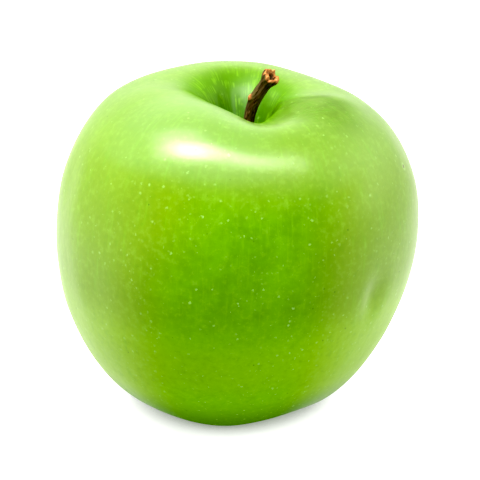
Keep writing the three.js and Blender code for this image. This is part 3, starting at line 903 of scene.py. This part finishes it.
# %% Dots and pits
PORE_PALE = (0.27, 0.43, 0.13)
PORES = [
    {"scale": 950, "size": 0.36, "low_share": 0.55, "top_share": 0.3, "strength": 0.22},
    {"scale": 620, "size": 0.28, "low_share": 0.95, "top_share": 0.35, "strength": 0.6},
    {"scale": 300, "size": 0.13, "low_share": 0.6, "top_share": 0.3, "strength": 0.8},
]
PORE_BEND = {"scale": 2400, "reach": (0.0007, 0.0007, 0.0007)}
PORE_CROWD = {"scale": 70, "detail": 2, "step": (0.4, 0.62, 0.55, 1.35)}
PORE_HEIGHTS = (0.2, 0.95)
PORE_EDGE = (1.0, 0.3)
SMALLEST_PORE = 0.55
FAINTEST_PORE = 0.3
PIT_DARK = (0.05, 0.13, 0.004)
PITS = {"shift": (0.03, 0.01, 0.02), "scale": 420, "share": 0.12, "edge": (0.11, 0.05, 0, 0.6)}


def pore_dots(skin, place, height):
    """Pale dots where the nearest point of a seeded 3-D scatter lies just under the skin. Each
    point has a rank, which says if its dot shows, how wide it is and how pale."""
    dots = 0.0
    wobble = skin.add("TexNoise", {"Vector": place, "Scale": PORE_BEND["scale"]}).outputs["Color"]
    bending = {0: wobble, 1: PORE_BEND["reach"], 2: place}
    bent = skin.add("VectorMath", bending, operation="MULTIPLY_ADD").outputs["Vector"]
    crowd = skin.step(skin.clouds(place, PORE_CROWD["scale"], PORE_CROWD["detail"]), *PORE_CROWD["step"])
    for pores in PORES:
        cell = skin.cells(bent, pores["scale"])
        rank = skin.add("SeparateColor", {"Color": cell.outputs["Color"]})
        share = skin.step(height, *PORE_HEIGHTS, pores["low_share"], pores["top_share"])
        shown = skin.math("LESS_THAN", rank.outputs["Red"], skin.times(crowd, share))
        size = skin.step(rank.outputs["Green"], 0, 1, pores["size"] * SMALLEST_PORE, pores["size"])
        dot = skin.step(skin.math("DIVIDE", cell.outputs["Distance"], size), *PORE_EDGE)
        faintest = pores["strength"] * FAINTEST_PORE
        paleness = skin.step(rank.outputs["Blue"], 0, 1, faintest, pores["strength"])
        dots = skin.math("MAXIMUM", dots, skin.times(dot, paleness, shown))
    return dots


def dark_pits(skin, place):
    """A few tiny dark pits: a share of the points of another scatter."""
    cell = skin.cells(skin.vector("ADD", place, PITS["shift"]), PITS["scale"])
    rank = skin.add("SeparateColor", {"Color": cell.outputs["Color"]})
    shown = skin.math("LESS_THAN", rank.outputs["Red"], PITS["share"])
    return skin.times(skin.step(cell.outputs["Distance"], *PITS["edge"]), shown)


print(len(PORES), "sizes of pore")

# %% Wrinkles and scar
# partly the dull green of the wrinkled patch, partly painted shade where the shoulder turns from the light
SKIN_NET_AND_SHADE = (0.072, 0.138, 0.004)
NET_MIDDLE = (0.0163, -0.0102, 0.071)
NET = {
    "scale": 480, "stretch": (1, 1.6, 1), "bend": (0.0016, 0.0016, 0.0016), "near": (0.014, 0.004),
    "broken": (0.42, 0.56), "line": (0.12, 0.01), "patch_share": (0.35, 0.6, 0.9, 0.5), "line_share": 0.5,
}
SCAR_MIDDLE = (0.0354, -0.0094, 0.0568)
SCAR_BROWN = (0.09, 0.05, 0.012)
SCAR = {"ring": (0.0012, 0.0006, 0, 0.6), "middle": (0.0006, 0.0003, 0, 0.9)}
PORES_IN_CAVITY = (0, 1, 1.0, 0.4)


def wrinkle_net(skin, place, patterns):
    """Thin broken lines between cells, on one dull patch of the shoulder. Returns lines and patch."""
    bent = skin.vector("ADD", place, skin.stretch(patterns["grain"], NET["bend"]))
    cell = skin.cells(skin.stretch(bent, NET["stretch"]), NET["scale"], feature="DISTANCE_TO_EDGE")
    patch = skin.step(skin.vector("DISTANCE", place, NET_MIDDLE), *NET["near"])
    broken = skin.step(patterns["dimples"], *NET["broken"])
    line = skin.step(cell.outputs["Distance"], *NET["line"])
    return skin.times(line, broken, patch), patch


def marked_color(skin, color, place, patterns, in_cavity, pores, pits, net, net_patch):
    """The wrinkled patch, darker partly as painted shade, the pores, the pits and the scar, over the greens.
    """
    # the patch's darker green is partly painted shade
    dull_and_shaded = skin.times(net_patch, skin.step(patterns["mottle"], *NET["patch_share"]))
    color = skin.mix(dull_and_shaded, color, SKIN_NET_AND_SHADE)
    color = skin.mix(skin.times(net, NET["line_share"]), color, SKIN_SHADE)
    color = skin.mix(skin.times(pores, skin.step(in_cavity, *PORES_IN_CAVITY)), color, PORE_PALE)
    color = skin.mix(pits, color, PIT_DARK)
    from_scar = skin.vector("DISTANCE", place, SCAR_MIDDLE)
    color = skin.mix(skin.step(from_scar, *SCAR["ring"]), color, PORE_PALE)
    return skin.mix(skin.step(from_scar, *SCAR["middle"]), color, SCAR_BROWN)


print("the scar's ring is", round(SCAR["ring"][0] * 2 / MM, 1), "mm across")

# %% [markdown]
# ## The gloss of the wax
# The wax is a clear coat over the dull green: polished on the shoulder and round the sides, where
# it mirrors the soft boxes and the pale room, and duller on the shady side, in the cavity, at the
# foot and on the wrinkles. The body under it has no mirror of its own, so all the gloss is in the
# coat. A low bump carries the faint dimples of the skin, which break up every highlight's edge.

# %% Skin finish
POLISH = {
    "shoulder": (0.74, 0.88, 0.04, 1.0), "side": (0.97, 0.66, 0, 1.0), "cavity": (0, 1, 1.0, 0.35),
    "foot": (0.15, 0.45, 0.75, 1.0), "net": (0, 1, 1.0, 0.45),
}
SKIN_RELIEF = {"pores": 0.8, "peel": 0.3, "dimples": 2.2, "cuts": 0.8}
SKIN_BUMP = {"distance": 0.00004, "strength": 0.6}
SKIN_BODY = {
    "Roughness": 0.5, "IOR": 1.42, "Specular IOR Level": 0.0,
    "Subsurface Weight": 0.12, "Subsurface Radius": (1.0, 1.0, 0.25), "Subsurface Scale": 0.003,
    "Coat Roughness": 0.31, "Coat IOR": 1.5,
}


def wax_polish(skin, facing, height, in_cavity, net_patch):
    """The weight of the clear coat: the larger of shoulder and side, times what dulls it."""
    polish = skin.math("MAXIMUM", skin.step(height, *POLISH["shoulder"]), skin.step(facing, *POLISH["side"]))
    return skin.times(polish, skin.step(in_cavity, *POLISH["cavity"]), skin.step(height, *POLISH["foot"]),
                      skin.step(net_patch, *POLISH["net"]))


def skin_finish():
    """The layers of colour from the ground up, then the relief, then the clear coat over both."""
    skin = Finish("waxy_green_skin")
    place = skin.place()
    meridian = skin.mark("meridian", "Vector")
    height, from_axis = skin.mark("height_share"), skin.mark("from_axis")
    patterns = skin_patterns(skin, place, meridian)
    facing = facing_the_shade(skin, meridian, height)
    in_cavity = skin.times(skin.step(from_axis, *CAVITY["inside"]), skin.step(height, *CAVITY["above"]))

    # painted light and shade in bands: a yellower tint on the lit sides, a darker top, paler below
    color = banded_color(skin, ground_color(skin, patterns), patterns, facing, height)
    # painted glow round the highlight
    color = painted_glow_color(skin, color, place, height)
    # painted shade in the stalk cavity
    color = cavity_color(skin, color, patterns, in_cavity, from_axis)
    # painted shade at the foot, where the fruit meets the floor
    color = skin.mix(skin.step(height, *FOOT_SHADE), color, SKIN_SHADE)
    pores, pits = pore_dots(skin, place, height), dark_pits(skin, place)
    net, net_patch = wrinkle_net(skin, place, patterns)
    # the wrinkled patch, partly painted shade, and the small marks
    color = marked_color(skin, color, place, patterns, in_cavity, pores, pits, net, net_patch)
    russet = skin.times(skin.step(from_axis, *RUSSET_PLACE["near"]),
                        skin.step(patterns["fine_streaks"], *RUSSET_PLACE["streaks"]))
    color = skin.mix(russet, color, RUSSET)

    raised = skin.weighted((pores, SKIN_RELIEF["pores"]), (patterns["peel"], SKIN_RELIEF["peel"]),
                           (patterns["dimples"], SKIN_RELIEF["dimples"]))
    cut = skin.times(skin.math("MAXIMUM", net, pits), SKIN_RELIEF["cuts"])
    normal = skin.bump(skin.math("SUBTRACT", raised, cut), **SKIN_BUMP)
    polish = wax_polish(skin, facing, height, in_cavity, net_patch)
    return skin.close(SKIN_BODY | {
        "Base Color": color, "Normal": normal, "Coat Weight": polish, "Coat Normal": normal,
    })


apple_skin.data.materials.append(skin_finish())
print("skin finish wired")

# %% [markdown]
# ## Bark, torn wood and dry calyx
# The bark is dark and olive by turns, with fine lengthwise fibres and tan flecks. The torn face
# and the knob are bare wood, orange-tan on their edges and nearly black in the hollow. Two
# materials on two sets of faces would meet in a hard line, so the marks on the mesh fade one into
# the other, and the fibres follow the mark that runs round and along, which bends with the stalk.
# The sepals are dry, felted and dull, green-brown and tan in patches, and the stamens are darker.

# %% Stalk finish
BARK_DARK = (0.016, 0.009, 0.003)
BARK_BROWN = (0.12, 0.068, 0.022)
BARK_OLIVE = (0.13, 0.105, 0.028)
BARK_TAN = (0.30, 0.17, 0.06)
BARK = {
    "fibres": (6, 6, 0.9), "patches": (1.1, 1.1, 0.55), "brown": (0.36, 0.64), "olive": (0.45, 0.6, 0, 0.7),
}
FLECKS = {"stretch": (2.6, 2.6, 1.2), "edge": (0.38, 0.15, 0, 0.8), "share": 0.45}
WOOD_RED = (0.22, 0.08, 0.018)
WOOD_TAN = (0.40, 0.185, 0.055)
WOOD_PALE = (0.56, 0.33, 0.13)
WOOD = {
    "crumbs": 1600, "tan": (0.36, 0.52), "pale": (0.55, 0.68), "hollow": (0.18, 0.5, 0, 0.95),
    "knob": (0.25, 0.6),
}
BARK_BUMP = {"distance": 0.00022, "strength": 0.8}
BARK_BODY = {"Roughness": 0.75, "IOR": 1.45, "Specular IOR Level": 0.35}
FLECK_HEIGHT = 0.6


def bark_color(bark, along, fibres):
    """Dark and brown by fibres, olive in patches, with tan flecks. Returns colour and flecks."""
    patches = bark.clouds(bark.stretch(along, BARK["patches"]))
    color = bark.mix(bark.step(fibres, *BARK["brown"]), BARK_DARK, BARK_BROWN)
    color = bark.mix(bark.step(patches, *BARK["olive"]), color, BARK_OLIVE)
    cell = bark.cells(bark.stretch(along, FLECKS["stretch"]), 1)
    rank = bark.add("SeparateColor", {"Color": cell.outputs["Color"]})
    shown = bark.math("LESS_THAN", rank.outputs["Red"], FLECKS["share"])
    flecks = bark.times(bark.step(cell.outputs["Distance"], *FLECKS["edge"]), shown)
    return bark.mix(flecks, color, BARK_TAN), flecks


def wood_color(bark, crumbs, hollow):
    """Torn wood: red-brown, tan and pale by crumbs, and nearly black down in the hollow."""
    wood = bark.mix(bark.step(crumbs, *WOOD["tan"]), WOOD_RED, WOOD_TAN)
    wood = bark.mix(bark.step(crumbs, *WOOD["pale"]), wood, WOOD_PALE)
    return bark.mix(bark.step(hollow, *WOOD["hollow"]), wood, BARK_DARK)


def stalk_finish():
    """Bark, turned into bare wood where the torn and knob marks are 1, with one relief for both."""
    bark = Finish("dry_bark")
    along = bark.mark("round_along", "Vector")
    fibres = bark.clouds(bark.stretch(along, BARK["fibres"]), detail=4, roughness=0.65)
    crumbs = bark.clouds(bark.place(), WOOD["crumbs"], roughness=0.6)
    color, flecks = bark_color(bark, along, fibres)
    bare = bark.math("MAXIMUM", bark.mark("torn"), bark.step(bark.mark("knob"), *WOOD["knob"]))
    color = bark.mix(bare, color, wood_color(bark, crumbs, bark.mark("hollow")))
    relief = bark.math("ADD", fibres, bark.times(flecks, FLECK_HEIGHT), bark.times(crumbs, bare))
    normal = bark.bump(relief, **BARK_BUMP)
    return bark.close(BARK_BODY | {"Base Color": color, "Normal": normal})


stalk.data.materials.append(stalk_finish())
print("stalk finish wired")

# %% Calyx and stamen finishes
SEPAL_GREEN = (0.12, 0.12, 0.035)
SEPAL_TAN = (0.26, 0.18, 0.08)
FELT_GREY = (0.42, 0.38, 0.28)
STAMEN_BROWN = (0.045, 0.022, 0.010)
FELT_SHARE = {"sepal": 0.6, "stamen": 0.15}
FELT = {"stretch": (1, 1, 0.3), "scale": 1600, "detail": 4, "roughness": 0.65, "shown": (0.5, 0.72)}
DRY_PATCHES = {"scale": 350, "step": (0.38, 0.62)}
FELT_BUMP = {"distance": 0.00012, "strength": 0.9}
DRY_BODY = {"Roughness": 0.92, "Specular IOR Level": 0.2, "Sheen Weight": 0.25, "Sheen Roughness": 0.6}


def dry_finish(name, dark, light, felt_share):
    """Two dry colours in patches, under a felt of fine upright fibres."""
    dry = Finish(name)
    place = dry.place()
    fibres = dry.clouds(dry.stretch(place, FELT["stretch"]), FELT["scale"], FELT["detail"], FELT["roughness"])
    patches = dry.clouds(place, DRY_PATCHES["scale"])
    color = dry.mix(dry.step(patches, *DRY_PATCHES["step"]), dark, light)
    color = dry.mix(dry.step(fibres, *FELT["shown"], 0, felt_share), color, FELT_GREY)
    normal = dry.bump(fibres, **FELT_BUMP)
    return dry.close(DRY_BODY | {"Base Color": color, "Normal": normal})


calyx.data.materials.append(dry_finish("felted_sepal", SEPAL_GREEN, SEPAL_TAN, FELT_SHARE["sepal"]))
tuft.data.materials.append(dry_finish("dry_stamen", STAMEN_BROWN, SEPAL_TAN, FELT_SHARE["stamen"]))
print("calyx finishes wired")

# %% [markdown]
# ## The floor
# The apple stands on a plain white floor that fills the view. A lit floor is never quite white, so
# this one glows by itself. A glowing floor takes no shadow, though, and the apple would seem to
# float: the floor dims where its view of the sky is blocked close by, which draws the narrow dark
# line under the fruit. Only the camera sees it dim, so the light that it sends up stays even.

# %% Floor
FLOOR_SIZE = 8
PAPER_GREY = (0.3, 0.3, 0.3, 1)
PAPER_GLOW = (1, 1, 1, 1)
CONTACT_REACH = 0.03
CONTACT_SAMPLES = 16
CONTACT_SHADOW = (0, 0.35, 0.3, 1.0)


def white_floor():
    """A square, glowing at strength 1, or less for the camera where the sky is hidden from it."""
    half = FLOOR_SIZE / 2
    corners = [(-half, -half, 0), (half, -half, 0), (half, half, 0), (-half, half, 0)]
    mesh = bpy.data.meshes.new("floor")
    mesh.from_pydata(corners, [], [(0, 1, 2, 3)])
    floor = bpy.data.objects.new("floor", mesh)
    bpy.context.collection.objects.link(floor)
    paper = Finish("white_paper")
    sky = paper.add("AmbientOcclusion", {"Distance": CONTACT_REACH}, samples=CONTACT_SAMPLES)
    dimmed = paper.step(sky.outputs["AO"], *CONTACT_SHADOW)
    seen = paper.add("LightPath").outputs["Is Camera Ray"]
    glow = paper.add("Mix", {0: seen, 2: 1.0, 3: dimmed}, data_type="FLOAT").outputs[0]
    mesh.materials.append(paper.close({
        "Base Color": PAPER_GREY, "Roughness": 0.9, "Emission Color": PAPER_GLOW, "Emission Strength": glow,
    }))
    return floor


white_floor()
print("a floor of", FLOOR_SIZE, "by", FLOOR_SIZE, "m")

# %% [markdown]
# ## The room and the soft boxes
# The room is pale on both sides and behind the apple, and darker towards the camera, which leaves
# the middle of the fruit a full green and its edges pale. Each pale side is a soft spot in the
# sky, so the room is a sum of a few of them. Three soft boxes overhead draw the gloss: a long one
# makes the bright streak along the shoulder, a short one its hot left end, and a weak wide one the
# glow round that end.

# %% Room
ROOM_PANELS = [
    {"azimuth": 0, "elevation": 3, "strength": 4.2},
    {"azimuth": 45, "elevation": 10, "strength": 0.8},
    {"azimuth": 135, "elevation": 10, "strength": 0.8},
    {"azimuth": 180, "elevation": 3, "strength": 1.7},
    {"azimuth": 90, "elevation": 25, "strength": 1.5},
    {"azimuth": 125, "elevation": 45, "strength": 1.0},
    {"azimuth": 55, "elevation": 45, "strength": 0.6},
    {"azimuth": -90, "elevation": 60, "strength": 0.85},
]
PANEL_SHARPNESS = 5


def panel_light(tree, direction, azimuth, elevation, strength):
    """strength max(d . panel, 0)^sharpness, for light that comes from direction d."""
    turn, rise = np.radians(azimuth), np.radians(elevation)
    facing = tree.nodes.new("ShaderNodeVectorMath")
    facing.operation = "DOT_PRODUCT"
    facing.inputs[1].default_value = np.cos(rise) * np.cos(turn), np.cos(rise) * np.sin(turn), np.sin(rise)
    tree.links.new(direction, facing.inputs[0])
    value = facing.outputs["Value"]
    for operation, number in ("MAXIMUM", 0), ("POWER", PANEL_SHARPNESS), ("MULTIPLY", strength):
        step = tree.nodes.new("ShaderNodeMath")
        step.operation = operation
        step.inputs[1].default_value = number
        tree.links.new(value, step.inputs[0])
        value = step.outputs[0]
    return value


def pale_room():
    """A world whose strength is the sum of its panels' light."""
    world = bpy.data.worlds.new("pale_room")
    world.use_nodes = True
    tree = world.node_tree
    tree.nodes.clear()
    direction = tree.nodes.new("ShaderNodeTexCoord").outputs["Generated"]
    total, *others = (panel_light(tree, direction, **panel) for panel in ROOM_PANELS)
    for value in others:
        both = tree.nodes.new("ShaderNodeMath")
        tree.links.new(total, both.inputs[0])
        tree.links.new(value, both.inputs[1])
        total = both.outputs[0]
    background = tree.nodes.new("ShaderNodeBackground")
    tree.links.new(total, background.inputs["Strength"])
    tree.links.new(background.outputs[0], tree.nodes.new("ShaderNodeOutputWorld").inputs[0])
    bpy.context.scene.world = world


pale_room()
print(len(ROOM_PANELS), "pale panels round the apple")

# %% Lights
SOFT_BOXES = [
    {"name": "left_box", "start": (-0.27, -0.14), "end": (-0.06, -0.18), "deep": 0.13, "power": 2.3},
    {"name": "pale_box", "start": (-0.40, 0.06), "end": (-0.06, 0.02), "deep": 0.18, "power": 1.3},
    {"name": "long_box", "start": (-0.46, -0.07), "end": (0.38, -0.32), "deep": 0.10, "power": 5.9},
]
BOX_HEIGHT = 0.53
APPLE_MIDDLE = (0, 0, 0.045)


def soft_box(name, start, end, deep, power):
    """A rectangle of light over the line start to end, turned to face the apple."""
    light = bpy.data.lights.new(name, "AREA")
    light.shape = "RECTANGLE"
    start, end = Vector((*start, BOX_HEIGHT)), Vector((*end, BOX_HEIGHT))
    light.size, light.size_y = (end - start).length, deep
    light.energy = power
    box = bpy.data.objects.new(name, light)
    bpy.context.collection.objects.link(box)
    middle = (start + end) / 2
    backward = (middle - Vector(APPLE_MIDDLE)).normalized()
    across = (end - start).normalized()
    upward = backward.cross(across).normalized()
    across = upward.cross(backward)
    box.matrix_world = Matrix.Translation(middle) @ Matrix((across, upward, backward)).transposed().to_4x4()
    box.visible_camera = False


for box in SOFT_BOXES:
    soft_box(**box)
print(len(SOFT_BOXES), "soft boxes overhead")

# %% [markdown]
# ## The camera and the print
# A long lens from less than half a metre away looks down a little, so that the stalk cavity shows.
# The picture keeps Blender's plain colours, with a soft gamma and a touch of black, as a bright
# studio print has.

# %% Camera
CAMERA = {"elevation": 22, "distance": 0.450, "lens": 152.8, "sensor": 36, "nearest": 0.01}
AIM = np.array([1.62, 0, 36.3]) + to_frame * [1, 1, 0]


def camera_at_the_apple():
    """The camera looks at the aim from distance behind it, raised by the elevation."""
    rise = np.radians(CAMERA["elevation"])
    back = np.array([0, -np.cos(rise), np.sin(rise)])
    data = bpy.data.cameras.new("camera")
    data.lens, data.sensor_width, data.clip_start = CAMERA["lens"], CAMERA["sensor"], CAMERA["nearest"]
    camera = bpy.data.objects.new("camera", data)
    bpy.context.collection.objects.link(camera)
    camera.location = AIM * MM + back * CAMERA["distance"]
    camera.rotation_euler = (np.pi / 2 - rise, 0, 0)
    return camera


bpy.context.scene.camera = camera_at_the_apple()
print("camera", CAMERA)

# %% Print
PRINT_GAMMA = 0.8
PRINT_BLACK = 0.025
view = bpy.context.scene.view_settings
view.view_transform = "Standard"
view.gamma = PRINT_GAMMA
view.use_curve_mapping = True
view.curve_mapping.black_level = (PRINT_BLACK,) * 3
view.curve_mapping.update()
print("gamma", PRINT_GAMMA, "and black level", PRINT_BLACK)
